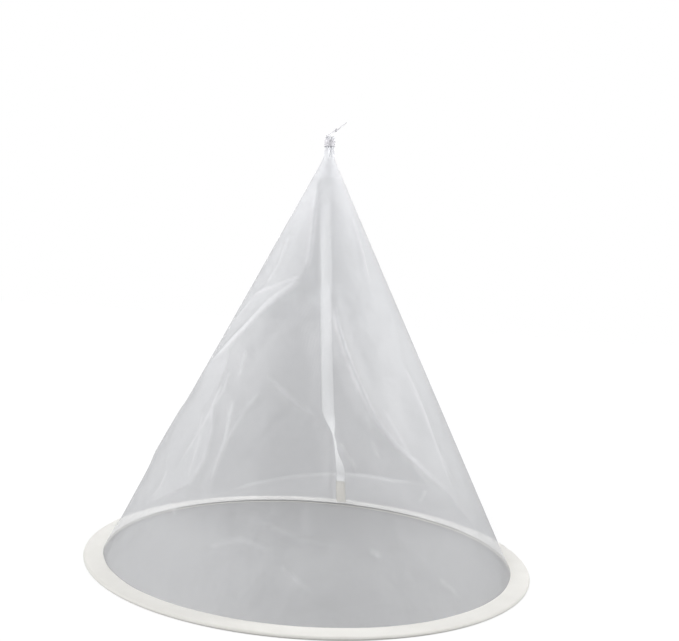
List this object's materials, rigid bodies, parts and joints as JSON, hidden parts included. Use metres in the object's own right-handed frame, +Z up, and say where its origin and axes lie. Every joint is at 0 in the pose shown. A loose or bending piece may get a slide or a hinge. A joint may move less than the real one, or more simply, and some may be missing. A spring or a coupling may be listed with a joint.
{
  "type": "conical filter net",
  "caption": "Cone of fine translucent nylon net on a flat cream bound rim, sewn up one side and pinched at the tip, for straining honey.",
  "frame": {"origin": "centre of the mouth, on the surface that the rim rests on", "axes": "+Z up from the mouth to the tip, +Y towards the seam at the back, +X to the right as the net is seen in the picture"},
  "size_m": [0.38, 0.38, 0.3769],
  "materials": {
    "net": "fine plain-woven nylon net, translucent, soft sheen",
    "seam": "several layers of the same net, nearly opaque",
    "tape": "cream woven binding tape, matt",
    "hoop": "plain plastic strip",
    "thread": "sewing thread"
  },
  "bodies": {
    "root": {"net_cone": "net", "seam_strip": "seam", "seam_tab": "tape", "rim_binding": "tape", "rim_hoop": "hoop", "apex_thread": "thread"}
  },
  "joints": []
}
